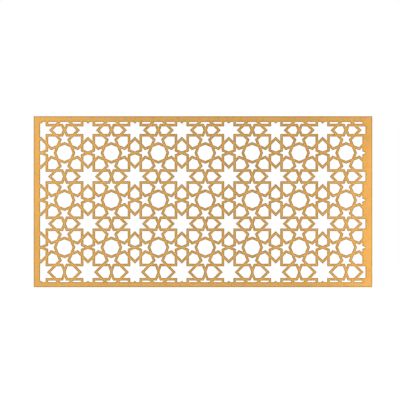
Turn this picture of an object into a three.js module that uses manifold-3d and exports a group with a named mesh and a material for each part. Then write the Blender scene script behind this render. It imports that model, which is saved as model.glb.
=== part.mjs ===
// Mashrabiya screen: one flat sheet, cut through with a lattice of octagons, petals and stars.
// Millimetres, with +X along the screen and +Z up. The front faces -Y and the back lies at y = 0.
// The origin is on the back face, in the middle of the top border.
import * as THREE from 'three';
import { mergeGeometries, mergeVertices } from 'three/addons/utils/BufferGeometryUtils.js';
import Module from 'manifold-3d';

// Sheet
const PANEL_WIDTH = 1200;
const PANEL_HEIGHT = 606;
const PANEL_THICKNESS = 6;

// Plain border, from the edge of the sheet to the lattice
const LEFT_BORDER = 22.5;
const RIGHT_BORDER = 24;
const TOP_BORDER = 20;
const BOTTOM_BORDER = 18;

// Lattice: square blocks, one round each octagon, with bands between them.
// The sizes run between the straps' centrelines, and the eight-pointed stars sit where bands cross.
const STRAP_WIDTH = 9.3;
const BLOCK_SIDE = 125;
const COLUMN_BAND = 41.4;
// Heights of the bands between the rows of blocks, from the top one down; the last one repeats
const ROW_BANDS = [36, 42.5, 42.5, 50.5];
// From the left edge of the sheet to the middle of the first column band
const FIRST_COLUMN = 25.8;
// From the top edge of the sheet to the middle of the first row band
const FIRST_ROW = 49.3;
const OCTAGON_RADIUS = 33.5;
// Tilt of the long straps that run past the octagon, from the block's axes
const RAY_TILT = THREE.MathUtils.degToRad(21.8);
// From the middle of a block's side to where the petal's short strap meets it
const PETAL_SHOULDER = 30.5;
// Bits of the pattern that the border leaves narrower than this are not cut
const NARROWEST_OPENING = 4;
// How far each cut runs on past the faces of the sheet
const CUT_OVERRUN = 1;

// Finish
const GOLD = 0xc99a52;
const GOLD_ROUGHNESS = 0.4;
const GOLD_METALNESS = 0.8;

const SHEET = {
  left: -PANEL_WIDTH / 2,
  right: PANEL_WIDTH / 2,
  top: TOP_BORDER / 2,
  bottom: TOP_BORDER / 2 - PANEL_HEIGHT,
};
const WINDOW = {
  left: SHEET.left + LEFT_BORDER,
  right: SHEET.right - RIGHT_BORDER,
  top: SHEET.top - TOP_BORDER,
  bottom: SHEET.bottom + BOTTOM_BORDER,
};

// Sizes of a block that follow from the ones above
const HALF_STRAP = STRAP_WIDTH / 2;
const HALF_BLOCK = BLOCK_SIDE / 2;
const HALF_COLUMN = COLUMN_BAND / 2;
const RAY_SLOPE = Math.tan(RAY_TILT);
// Where a long strap crosses the block's side, from the side's middle
const RAY_FOOT = OCTAGON_RADIUS - RAY_SLOPE * HALF_BLOCK;
// How far past the block's side two long straps meet
const RAY_REACH = RAY_FOOT / RAY_SLOPE;
// How far inside the block's side a petal's short strap ends on the long strap
const PETAL_DEPTH = (PETAL_SHOULDER - RAY_FOOT) / (1 + RAY_SLOPE);
const RAY_BEND = { across: RAY_FOOT + RAY_SLOPE * PETAL_DEPTH, along: HALF_BLOCK - PETAL_DEPTH };
const OCTAGON_CORNER = OCTAGON_RADIUS / (1 + RAY_SLOPE);

// Points and outlines

const QUARTERS = [0, 1, 2, 3];

function point(x, z) {
  return new THREE.Vector2(x, z);
}

function mirrored(points) {
  return points.map(({ x, y }) => point(-x, y));
}

function quarterTurned(points, turns) {
  return points.map((corner) => corner.clone().rotateAround(point(0, 0), (turns * Math.PI) / 2));
}

function moved(points, centre) {
  return points.map((corner) => corner.clone().add(centre));
}

// A whole outline from its right half, which runs from the bottom to the top
function withLeftHalf(rightHalf) {
  const offAxis = rightHalf.filter(({ x }) => x !== 0);
  return [...rightHalf, ...mirrored(offAxis).reverse()];
}

// Cells of the pattern, as outlines between the straps' centrelines, about their own centre

function octagon() {
  const quarter = [point(OCTAGON_RADIUS, 0), point(OCTAGON_CORNER, OCTAGON_CORNER)];
  return QUARTERS.flatMap((turns) => quarterTurned(quarter, turns));
}

// The petal in a block's upper right corner
function cornerPetal() {
  return [
    point(HALF_BLOCK, HALF_BLOCK),
    point(PETAL_SHOULDER, HALF_BLOCK),
    point(RAY_BEND.across, RAY_BEND.along),
    point(OCTAGON_CORNER, OCTAGON_CORNER),
    point(RAY_BEND.along, RAY_BEND.across),
    point(HALF_BLOCK, PETAL_SHOULDER),
  ];
}

// The five-pointed star on a block's top side, with its tip in the band beyond
function sideStar() {
  return withLeftHalf([
    point(0, OCTAGON_RADIUS),
    point(OCTAGON_CORNER, OCTAGON_CORNER),
    point(RAY_BEND.across, RAY_BEND.along),
    point(PETAL_SHOULDER, HALF_BLOCK),
    point(RAY_FOOT, HALF_BLOCK),
    point(0, HALF_BLOCK + RAY_REACH),
  ]);
}

// The petal to the right of the crossing straps in a band that runs along X
function bandPetal(halfBand) {
  const blunt = halfBand > RAY_REACH;
  const innerEnd = blunt
    ? [point(0, halfBand - RAY_REACH), point(0, RAY_REACH - halfBand)]
    : [point(RAY_FOOT - RAY_SLOPE * halfBand, 0)];
  return [
    point(PETAL_SHOULDER + halfBand, 0),
    point(PETAL_SHOULDER, halfBand),
    point(RAY_FOOT, halfBand),
    ...innerEnd,
    point(RAY_FOOT, -halfBand),
    point(PETAL_SHOULDER, -halfBand),
  ];
}

// The eight-pointed star where a row band crosses a column band
function crossingStar(halfRow) {
  const arm = HALF_BLOCK - PETAL_SHOULDER;
  return withLeftHalf([
    point(0, HALF_COLUMN - halfRow - arm),
    point(HALF_COLUMN, -halfRow - arm),
    point(HALF_COLUMN, -halfRow),
    point(HALF_COLUMN + arm, -halfRow),
    point(HALF_COLUMN + arm - halfRow, 0),
    point(HALF_COLUMN + arm, halfRow),
    point(HALF_COLUMN, halfRow),
    point(HALF_COLUMN, halfRow + arm),
    point(0, halfRow + arm - HALF_COLUMN),
  ]);
}

// Openings: what the straps and the border leave of a cell

function crossingOf(first, second) {
  const turn = first.along.cross(second.along);
  const offset = second.start.clone().sub(first.start);
  return first.start.clone().addScaledVector(first.along, offset.cross(second.along) / turn);
}

// The outline moved inwards, with sharp corners. A side that comes out reversed has closed up.
function inset(cell, distance) {
  const outline = THREE.ShapeUtils.isClockWise(cell) ? cell.toReversed() : cell;
  const sides = outline.map((start, index) => {
    const end = outline[(index + 1) % outline.length];
    const along = end.clone().sub(start).normalize();
    return { start: start.clone().addScaledVector(point(-along.y, along.x), distance), along };
  });
  while (sides.length > 2) {
    const corners = sides.map((side, index) => crossingOf(sides.at(index - 1), side));
    const closedUp = sides.findIndex((side, index) => {
      const length = corners[(index + 1) % sides.length].clone().sub(corners[index]).dot(side.along);
      return length <= 0;
    });
    if (closedUp < 0) {
      return corners;
    }
    sides.splice(closedUp, 1);
  }
  return [];
}

// The stretches of an outline on the kept side of a line. Each starts and ends on the line.
function keptStretches(outline, axis, limit, isKept) {
  const stretches = [];
  const first = outline.findIndex((corner, index) => isKept(corner) && !isKept(outline.at(index - 1)));
  for (let step = 0; step < outline.length; step += 1) {
    const corner = outline[(first + step) % outline.length];
    const previous = outline.at(((first + step) % outline.length) - 1);
    const share = (limit - previous[axis]) / (corner[axis] - previous[axis]);
    if (isKept(corner) && !isKept(previous)) {
      stretches.push([previous.clone().lerp(corner, share)]);
    }
    if (isKept(corner)) {
      stretches.at(-1).push(corner);
    } else if (isKept(previous)) {
      stretches.at(-1).push(previous.clone().lerp(corner, share));
    }
  }
  return stretches;
}

// The pieces of an outline on the kept side of a line: its stretches, closed along the line
function cutAt(outline, axis, limit, isKept) {
  if (outline.every(isKept)) {
    return [outline];
  }
  if (!outline.some(isKept)) {
    return [];
  }
  const stretches = keptStretches(outline, axis, limit, isKept);
  const lineAxis = axis === 'x' ? 'y' : 'x';
  const ends = stretches.flatMap((stretch) => [
    { stretch, isStart: true, place: stretch[0][lineAxis] },
    { stretch, isStart: false, place: stretch.at(-1)[lineAxis] },
  ]);
  ends.sort((one, other) => one.place - other.place);
  const following = new Map();
  for (let index = 0; index < ends.length; index += 2) {
    const pair = [ends[index], ends[index + 1]];
    const start = pair.find(({ isStart }) => isStart);
    const end = pair.find(({ isStart }) => !isStart);
    following.set(end.stretch, start.stretch);
  }
  const pieces = [];
  const waiting = new Set(stretches);
  for (const stretch of waiting) {
    const piece = [];
    let current = stretch;
    while (waiting.delete(current)) {
      piece.push(...current);
      current = following.get(current);
    }
    pieces.push(piece);
  }
  return pieces;
}

function cutToFrame(outline, frame) {
  return [outline]
    .flatMap((piece) => cutAt(piece, 'x', frame.left, ({ x }) => x > frame.left))
    .flatMap((piece) => cutAt(piece, 'x', frame.right, ({ x }) => x < frame.right))
    .flatMap((piece) => cutAt(piece, 'y', frame.bottom, ({ y }) => y > frame.bottom))
    .flatMap((piece) => cutAt(piece, 'y', frame.top, ({ y }) => y < frame.top));
}

function isWideEnough(outline) {
  const size = new THREE.Box2().setFromPoints(outline).getSize(point(0, 0));
  return Math.min(size.x, size.y) >= NARROWEST_OPENING;
}

function openingsIn(cell, centre, frame) {
  const opening = inset(moved(cell, centre), HALF_STRAP);
  if (opening.length === 0) {
    return [];
  }
  return cutToFrame(opening, frame).filter(isWideEnough);
}

// The frame that a star is cut to. Where the border hides nearly all of one of its two bars,
// only what shows of the other bar is cut.
function starFrame(centre, halfRow) {
  const upright = { left: centre.x - HALF_COLUMN + HALF_STRAP, right: centre.x + HALF_COLUMN - HALF_STRAP };
  const level = { bottom: centre.y - halfRow + HALF_STRAP, top: centre.y + halfRow - HALF_STRAP };
  const uprightShows = Math.min(upright.right, WINDOW.right) - Math.max(upright.left, WINDOW.left);
  const levelShows = Math.min(level.top, WINDOW.top) - Math.max(level.bottom, WINDOW.bottom);
  const sides = levelShows < NARROWEST_OPENING ? upright : {};
  const ends = uprightShows < NARROWEST_OPENING ? level : {};
  const frame = { ...WINDOW, ...sides, ...ends };
  return {
    left: Math.max(frame.left, WINDOW.left),
    right: Math.min(frame.right, WINDOW.right),
    bottom: Math.max(frame.bottom, WINDOW.bottom),
    top: Math.min(frame.top, WINDOW.top),
  };
}

// Places of the bands and blocks

// Middles of the column bands, from one left of the window to one right of it
function columnBands() {
  const pitch = BLOCK_SIDE + COLUMN_BAND;
  const start = SHEET.left + FIRST_COLUMN;
  const first = start - Math.ceil((start - WINDOW.left) / pitch) * pitch;
  const bands = [];
  for (let middle = first; middle < WINDOW.right + pitch; middle += pitch) {
    bands.push(middle);
  }
  return bands;
}

function halfRowAt(index) {
  return ROW_BANDS[THREE.MathUtils.clamp(index, 0, ROW_BANDS.length - 1)] / 2;
}

// Row bands, from one above the window to one below it, with the middle and half height of each
function rowBands() {
  const rows = [{ middle: SHEET.top - FIRST_ROW, half: halfRowAt(0) }];
  while (rows[0].middle < WINDOW.top) {
    rows.unshift({ middle: rows[0].middle + 2 * rows[0].half + BLOCK_SIDE, half: rows[0].half });
  }
  const above = rows.length - 1;
  while (rows.at(-1).middle > WINDOW.bottom) {
    const half = halfRowAt(rows.length - above);
    const middle = rows.at(-1).middle - rows.at(-1).half - BLOCK_SIDE - half;
    rows.push({ middle, half });
  }
  return rows;
}

function blockOpenings(centre) {
  const cells = [
    octagon(),
    ...QUARTERS.map((turns) => quarterTurned(cornerPetal(), turns)),
    ...QUARTERS.map((turns) => quarterTurned(sideStar(), turns)),
  ];
  return cells.flatMap((cell) => openingsIn(cell, centre, WINDOW));
}

function latticeOpenings() {
  const columns = columnBands();
  const rows = rowBands();
  const openings = [];
  rows.forEach(({ middle, half }, rowIndex) => {
    const below = rows[rowIndex + 1];
    const blockMiddle = below ? (middle - half + below.middle + below.half) / 2 : undefined;
    columns.forEach((column, columnIndex) => {
      const crossing = point(column, middle);
      openings.push(...openingsIn(crossingStar(half), crossing, starFrame(crossing, half)));
      const hasBlockRight = columnIndex + 1 < columns.length;
      const blockColumn = column + HALF_COLUMN + HALF_BLOCK;
      if (hasBlockRight) {
        for (const turns of [0, 2]) {
          const petal = quarterTurned(bandPetal(half), turns);
          openings.push(...openingsIn(petal, point(blockColumn, middle), WINDOW));
        }
      }
      if (below) {
        for (const turns of [1, 3]) {
          const petal = quarterTurned(bandPetal(HALF_COLUMN), turns);
          openings.push(...openingsIn(petal, point(column, blockMiddle), WINDOW));
        }
      }
      if (hasBlockRight && below) {
        openings.push(...blockOpenings(point(blockColumn, blockMiddle)));
      }
    });
  });
  return openings;
}

// The sheet and its cuts

const wasm = await Module();
wasm.setup();

// A flat outline as a plate, between two distances in front of the back face
function plate(outline, from, to) {
  const geometry = new THREE.ExtrudeGeometry(new THREE.Shape(outline), {
    depth: to - from,
    bevelEnabled: false,
  });
  return geometry.translate(0, 0, from);
}

function toSolid(geometry) {
  geometry.deleteAttribute('normal');
  geometry.deleteAttribute('uv');
  const merged = mergeVertices(geometry);
  const mesh = new wasm.Mesh({
    numProp: 3,
    vertProperties: merged.attributes.position.array,
    triVerts: merged.index.array,
  });
  return new wasm.Manifold(mesh);
}

function toGeometry(solid) {
  const { vertProperties, triVerts } = solid.getMesh();
  const geometry = new THREE.BufferGeometry();
  geometry.setAttribute('position', new THREE.BufferAttribute(vertProperties, 3));
  geometry.setIndex(new THREE.BufferAttribute(triVerts, 1));
  geometry.computeVertexNormals();
  return geometry;
}

function screenPanel() {
  const outline = [
    point(SHEET.left, SHEET.bottom),
    point(SHEET.right, SHEET.bottom),
    point(SHEET.right, SHEET.top),
    point(SHEET.left, SHEET.top),
  ];
  const cutEnd = PANEL_THICKNESS + CUT_OVERRUN;
  const cuts = latticeOpenings().map((opening) => plate(opening, -CUT_OVERRUN, cutEnd));
  const sheet = toSolid(plate(outline, 0, PANEL_THICKNESS));
  const lattice = sheet.subtract(toSolid(mergeGeometries(cuts)));
  const gold = new THREE.MeshStandardMaterial({
    color: GOLD,
    roughness: GOLD_ROUGHNESS,
    metalness: GOLD_METALNESS,
  });
  const panel = new THREE.Mesh(toGeometry(lattice), gold);
  panel.name = 'screen_panel';
  // The outline is drawn in the XY plane. This stands it up, with its thickness towards -Y.
  panel.rotation.x = Math.PI / 2;
  return panel;
}

const screen = new THREE.Group();
screen.add(screenPanel());

export default screen;
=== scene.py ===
# The mashrabiya screen of the photograph: one flat gold sheet with a pierced lattice.
# Metres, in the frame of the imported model: +X along the screen, -Y out of its front, +Z up.
import math

import bpy
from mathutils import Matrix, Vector


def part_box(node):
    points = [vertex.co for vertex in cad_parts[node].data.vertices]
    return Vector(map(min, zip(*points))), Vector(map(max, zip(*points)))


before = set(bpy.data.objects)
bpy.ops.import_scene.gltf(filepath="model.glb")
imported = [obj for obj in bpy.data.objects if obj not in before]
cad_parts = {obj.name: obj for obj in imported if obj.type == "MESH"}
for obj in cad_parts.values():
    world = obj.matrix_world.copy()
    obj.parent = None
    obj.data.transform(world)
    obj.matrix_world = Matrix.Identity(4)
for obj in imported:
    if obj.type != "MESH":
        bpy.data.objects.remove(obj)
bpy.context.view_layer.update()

# The screen's box, and the middle of its front's left and right end
PANEL_LOW, PANEL_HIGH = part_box("screen_panel")
PANEL_CENTRE = (PANEL_LOW + PANEL_HIGH) / 2
PANEL_SIZE = PANEL_HIGH - PANEL_LOW
LEFT_END = (PANEL_LOW.x, PANEL_LOW.y, PANEL_CENTRE.z)
RIGHT_END = (PANEL_HIGH.x, PANEL_LOW.y, PANEL_CENTRE.z)

# The photograph: its side and the screen's outline in it, in pixels
PHOTO_SIDE = 400
OUTLINE_LEFT = 33.7
OUTLINE_RIGHT = 372.3
OUTLINE_TOP = 116.2
OUTLINE_BOTTOM = 287.3

CAMERA_DISTANCE = 7.0
SENSOR_WIDTH = 0.036
MILLIMETRES_PER_METRE = 1000

# The rounded arris that the coat leaves on a cut edge, and the sharpest bend that isn't an edge
ARRIS_RADIUS = 0.0004
ARRIS_STEPS = 2
SHARPEST_FLAT = math.radians(20)

# Corners that lie closer than this are joined, and so are faces that bend by less than this angle
WELD_DISTANCE = 0.00002
FLATTEST_CORNER = math.radians(1)
# How often the flat faces are parted into even triangles. The first turn leaves a few thin ones.
EVENING_TURNS = 2

# The coat's colours: its face, with pale clouds and deep spots, the painted shade along the cuts, and the
# cut faces
GOLD = (0.64, 0.36, 0.097, 1)
PALE_GOLD = (0.70, 0.40, 0.112, 1)
DEEP_GOLD = (0.58, 0.315, 0.075, 1)
# Painted shade: the brown that the face darkens to along every cut
RIM_PAINTED_SHADE = (0.31, 0.178, 0.033, 1)
CUT_BROWN = (0.50, 0.27, 0.07, 1)

# The coat's noise patterns. The stripes run through the sheet from front to back.
CLOUDS = {"scale": 7, "detail": 3}
MOTTLE = {"scale": 90, "detail": 4}
GRAIN = {"scale": 1600, "detail": 2}
STRIPES = {"scale": 900, "detail": 3, "stretch": (1, 0.03, 1)}
# A noise pattern seldom leaves this range
NOISE_LOW = 0.3
NOISE_HIGH = 0.7

# How much of the deeper colour the mottle, the grain and the cut faces take at the most
MOTTLE_SHARE = 0.22
GRAIN_SHARE = 0.4
CUT_SHARE = 0.55

# The painted shade along the cuts is placed by rays inside the sheet, which look this far for a wall
RIM_WIDTH = 0.0045
RIM_RAYS = 12
# The share of them that meets no wall where the painted shade is darkest, and how much the mottle varies
# that share
DEEPEST_RIM = 0.7
RAGGED_RIM = 0.05

# How far a normal leans to the front or back, at most on a cut face and at least on a flat face
CUT_LEAN = 0.15
FLAT_LEAN = 0.6

# The coat's sheen and relief, with the roughness from its smoothest spots to its roughest
FACE_ROUGHNESS = (0.36, 0.46)
CUT_ROUGHNESS = (0.45, 0.6)
COAT_METALLIC = 0.75
RELIEF_STRENGTH = 0.5
RELIEF_HEIGHT = 0.0002

WHITE = (1, 1, 1)
SOFT_WHITE = (1, 0.85, 0.6)
WARM_WHITE = (1, 0.75, 0.4)

# The softboxes, with their power in watts: a broad one for the left end, a closer and warmer one for
# the right end, and two large ones that shine on the whole screen from above, in front and behind
SOFTBOXES = {
    "left softbox": {
        "place": (-1.5, -2.1, PANEL_CENTRE.z + 0.4),
        "target": LEFT_END,
        "width": 1.2,
        "height": 1.2,
        "power": 10.5,
        "colour": SOFT_WHITE,
    },
    "right softbox": {
        "place": (1.0, -0.55, PANEL_CENTRE.z - 0.05),
        "target": RIGHT_END,
        "width": 0.4,
        "height": 0.8,
        "power": 3.8,
        "colour": WARM_WHITE,
    },
    "top softbox": {
        "place": (0, -2.6, 1.9),
        "target": PANEL_CENTRE,
        "width": 2.4,
        "height": 2.4,
        "power": 11,
        "colour": WHITE,
    },
    "back softbox": {
        "place": (0.6, 2.8, 1.6),
        "target": PANEL_CENTRE,
        "width": 2.4,
        "height": 2.4,
        "power": 60,
        "colour": WHITE,
    },
}

# The room's strength where the camera sees it, and where it lights the screen
ROOM_SEEN = 1.0
ROOM_LIGHT = 0.6

# The floor: how far below the screen it lies, its side and its look
FLOOR_DROP = 0.32
FLOOR_SIDE = 24.0
FLOOR_COLOUR = (0.9, 0.9, 0.9, 1)
FLOOR_ROUGHNESS = 0.9
FLOOR_GLOW = 0.5


def node_tree(material):
    """The material's node tree, emptied, with its output and one shader."""
    material.use_nodes = True
    tree = material.node_tree
    tree.nodes.clear()
    output = tree.nodes.new("ShaderNodeOutputMaterial")
    shader = tree.nodes.new("ShaderNodeBsdfPrincipled")
    tree.links.new(shader.outputs["BSDF"], output.inputs["Surface"])
    return tree, shader


def noise(tree, coordinates, scale, detail, stretch=(1, 1, 1)):
    """A noise texture on coordinates that are scaled by stretch first. Returns its factor."""
    mapping = tree.nodes.new("ShaderNodeMapping")
    mapping.inputs["Scale"].default_value = stretch
    texture = tree.nodes.new("ShaderNodeTexNoise")
    texture.inputs["Scale"].default_value = scale
    texture.inputs["Detail"].default_value = detail
    tree.links.new(coordinates, mapping.inputs["Vector"])
    tree.links.new(mapping.outputs["Vector"], texture.inputs["Vector"])
    return texture.outputs["Fac"]


def between(tree, factor, low, high, from_low=NOISE_LOW, from_high=NOISE_HIGH):
    """The factor's range from from_low to from_high, as values from low to high."""
    remap = tree.nodes.new("ShaderNodeMapRange")
    remap.inputs["From Min"].default_value = from_low
    remap.inputs["From Max"].default_value = from_high
    remap.inputs["To Min"].default_value = low
    remap.inputs["To Max"].default_value = high
    tree.links.new(factor, remap.inputs["Value"])
    return remap.outputs["Result"]


def mixed(tree, factor, first, second, kind="RGBA"):
    """A mix of two colours, or of two numbers if kind is FLOAT. Each is a value or a node's output."""
    mix = tree.nodes.new("ShaderNodeMix")
    mix.data_type = kind
    tree.links.new(factor, mix.inputs["Factor"])
    for value, socket in ((first, mix.inputs["A"]), (second, mix.inputs["B"])):
        if isinstance(value, bpy.types.NodeSocket):
            tree.links.new(value, socket)
        else:
            socket.default_value = value
    return mix.outputs["Result"]


def summed(tree, first, second):
    """The sum of two nodes' outputs."""
    total = tree.nodes.new("ShaderNodeMath")
    total.operation = "ADD"
    tree.links.new(first, total.inputs[0])
    tree.links.new(second, total.inputs[1])
    return total.outputs["Value"]


def cut_face_mask(tree, normal):
    """1 on the walls of the openings and the sheet's edges, 0 on its front and back."""
    parts = tree.nodes.new("ShaderNodeSeparateXYZ")
    tree.links.new(normal, parts.inputs["Vector"])
    lean = tree.nodes.new("ShaderNodeMath")
    lean.operation = "ABSOLUTE"
    tree.links.new(parts.outputs["Y"], lean.inputs[0])
    return between(tree, lean.outputs["Value"], 1, 0, from_low=CUT_LEAN, from_high=FLAT_LEAN)


def painted_rim_shade_mask(tree, mottle):
    """Where the painted shade falls: 1 right at a cut and nearly 0 from the rim's width on, unevenly, with
    the mottle.
    """
    inside = tree.nodes.new("ShaderNodeAmbientOcclusion")
    inside.inside = True
    inside.samples = RIM_RAYS
    inside.inputs["Distance"].default_value = RIM_WIDTH
    openness = summed(tree, inside.outputs["AO"], between(tree, mottle, -RAGGED_RIM, RAGGED_RIM))
    return between(tree, openness, 1, 0, from_low=DEEPEST_RIM, from_high=1)


def coat_colour(tree, place, mottle, grain, cut_face):
    """Gold with clouds, mottle and grain, with painted shade along the cuts, and browner on the cut faces.
    """
    clouds = noise(tree, place, **CLOUDS)
    clouded = mixed(tree, between(tree, clouds, 0, 1), GOLD, PALE_GOLD)
    mottled = mixed(tree, between(tree, mottle, 0, MOTTLE_SHARE), clouded, DEEP_GOLD)
    grained = mixed(tree, between(tree, grain, 0, GRAIN_SHARE), mottled, DEEP_GOLD)
    # Painted shade along every cut, darkest right at the cut
    rim_shaded = mixed(tree, painted_rim_shade_mask(tree, mottle), grained, RIM_PAINTED_SHADE)
    cut_share = between(tree, cut_face, 0, CUT_SHARE, from_low=0, from_high=1)
    return mixed(tree, cut_share, rim_shaded, CUT_BROWN)


def gold_coat():
    """Satin gold coat: faint clouds, fine grain, painted shade along the cuts, and striped cut faces."""
    material = bpy.data.materials.new("gold_coat")
    tree, shader = node_tree(material)
    texture_space = tree.nodes.new("ShaderNodeTexCoord")
    place = texture_space.outputs["Object"]
    cut_face = cut_face_mask(tree, texture_space.outputs["Normal"])
    mottle = noise(tree, place, **MOTTLE)
    grain = noise(tree, place, **GRAIN)
    stripes = noise(tree, place, **STRIPES)

    tree.links.new(coat_colour(tree, place, mottle, grain, cut_face), shader.inputs["Base Color"])

    face_roughness = between(tree, mottle, *FACE_ROUGHNESS)
    cut_roughness = between(tree, stripes, *CUT_ROUGHNESS)
    roughness = mixed(tree, cut_face, face_roughness, cut_roughness, "FLOAT")
    tree.links.new(roughness, shader.inputs["Roughness"])
    shader.inputs["Metallic"].default_value = COAT_METALLIC

    relief = mixed(tree, cut_face, grain, stripes, "FLOAT")
    bump = tree.nodes.new("ShaderNodeBump")
    bump.inputs["Strength"].default_value = RELIEF_STRENGTH
    bump.inputs["Distance"].default_value = RELIEF_HEIGHT
    tree.links.new(relief, bump.inputs["Height"])
    tree.links.new(bump.outputs["Normal"], shader.inputs["Normal"])
    return material


def weld_corners(panel, name):
    """Joins the panel's corners that lie within the weld distance."""
    weld = panel.modifiers.new(name, "WELD")
    weld.merge_threshold = WELD_DISTANCE


def dress_panel():
    """The sheet keeps its cut form. Its arrises are rounded and it gets the gold coat."""
    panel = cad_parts["screen_panel"]
    weld_corners(panel, "joined corners")
    for turn in range(EVENING_TURNS):
        whole = panel.modifiers.new(f"whole flat faces {turn}", "DECIMATE")
        whole.decimate_type = "DISSOLVE"
        whole.angle_limit = FLATTEST_CORNER
        even = panel.modifiers.new(f"even triangles {turn}", "TRIANGULATE")
        even.ngon_method = "BEAUTY"
    arris = panel.modifiers.new("rounded arrises", "BEVEL")
    arris.width = ARRIS_RADIUS
    arris.segments = ARRIS_STEPS
    arris.limit_method = "ANGLE"
    arris.angle_limit = SHARPEST_FLAT
    arris.use_clamp_overlap = False
    arris.loop_slide = False
    arris.harden_normals = True
    weld_corners(panel, "clean corners")
    panel.material_slots[0].material = gold_coat()


def add_camera():
    """Square on to the screen, with the screen at its place and size in the photograph."""
    pixel = PANEL_SIZE.x / (OUTLINE_RIGHT - OUTLINE_LEFT)
    pixels_right = PHOTO_SIDE / 2 - (OUTLINE_LEFT + OUTLINE_RIGHT) / 2
    pixels_down = PHOTO_SIDE / 2 - (OUTLINE_TOP + OUTLINE_BOTTOM) / 2
    data = bpy.data.cameras.new("camera")
    data.sensor_width = SENSOR_WIDTH * MILLIMETRES_PER_METRE
    data.lens = MILLIMETRES_PER_METRE * SENSOR_WIDTH * CAMERA_DISTANCE / (PHOTO_SIDE * pixel)
    camera = bpy.data.objects.new("camera", data)
    camera.location = (
        PANEL_CENTRE.x + pixels_right * pixel,
        PANEL_LOW.y - CAMERA_DISTANCE,
        PANEL_CENTRE.z - pixels_down * pixel,
    )
    camera.rotation_euler = (math.pi / 2, 0, 0)
    bpy.context.scene.collection.objects.link(camera)
    bpy.context.scene.camera = camera


def add_softbox(name, place, target, width, height, power, colour):
    """A flat soft light that shines on a point of the screen."""
    data = bpy.data.lights.new(name, "AREA")
    data.shape = "RECTANGLE"
    data.size = width
    data.size_y = height
    data.energy = power
    data.color = colour
    light = bpy.data.objects.new(name, data)
    light.location = place
    light.rotation_euler = (Vector(target) - light.location).to_track_quat("-Z", "Y").to_euler()
    bpy.context.scene.collection.objects.link(light)


def add_room():
    """A white room: pure white to the camera, and a softer light on the screen."""
    world = bpy.data.worlds.new("white room")
    bpy.context.scene.world = world
    world.use_nodes = True
    tree = world.node_tree
    tree.nodes.clear()
    output = tree.nodes.new("ShaderNodeOutputWorld")
    seen = tree.nodes.new("ShaderNodeBackground")
    seen.inputs["Strength"].default_value = ROOM_SEEN
    felt = tree.nodes.new("ShaderNodeBackground")
    felt.inputs["Strength"].default_value = ROOM_LIGHT
    for background in (seen, felt):
        background.inputs["Color"].default_value = (*WHITE, 1)
    rays = tree.nodes.new("ShaderNodeLightPath")
    mix = tree.nodes.new("ShaderNodeMixShader")
    tree.links.new(rays.outputs["Is Camera Ray"], mix.inputs["Fac"])
    tree.links.new(felt.outputs["Background"], mix.inputs[1])
    tree.links.new(seen.outputs["Background"], mix.inputs[2])
    tree.links.new(mix.outputs["Shader"], output.inputs["Surface"])


def add_floor():
    """A plain pale floor below the screen, which hangs clear of it."""
    bpy.ops.mesh.primitive_plane_add(size=FLOOR_SIDE, location=(0, 0, PANEL_LOW.z - FLOOR_DROP))
    floor = bpy.context.object
    floor.name = "floor"
    material = bpy.data.materials.new("pale floor")
    shader = node_tree(material)[1]
    shader.inputs["Base Color"].default_value = FLOOR_COLOUR
    shader.inputs["Roughness"].default_value = FLOOR_ROUGHNESS
    shader.inputs["Emission Color"].default_value = (*WHITE, 1)
    shader.inputs["Emission Strength"].default_value = FLOOR_GLOW
    floor.data.materials.append(material)


dress_panel()
add_camera()
for name, softbox in SOFTBOXES.items():
    add_softbox(name, **softbox)
add_room()
add_floor()
bpy.context.scene.view_settings.view_transform = "Standard"
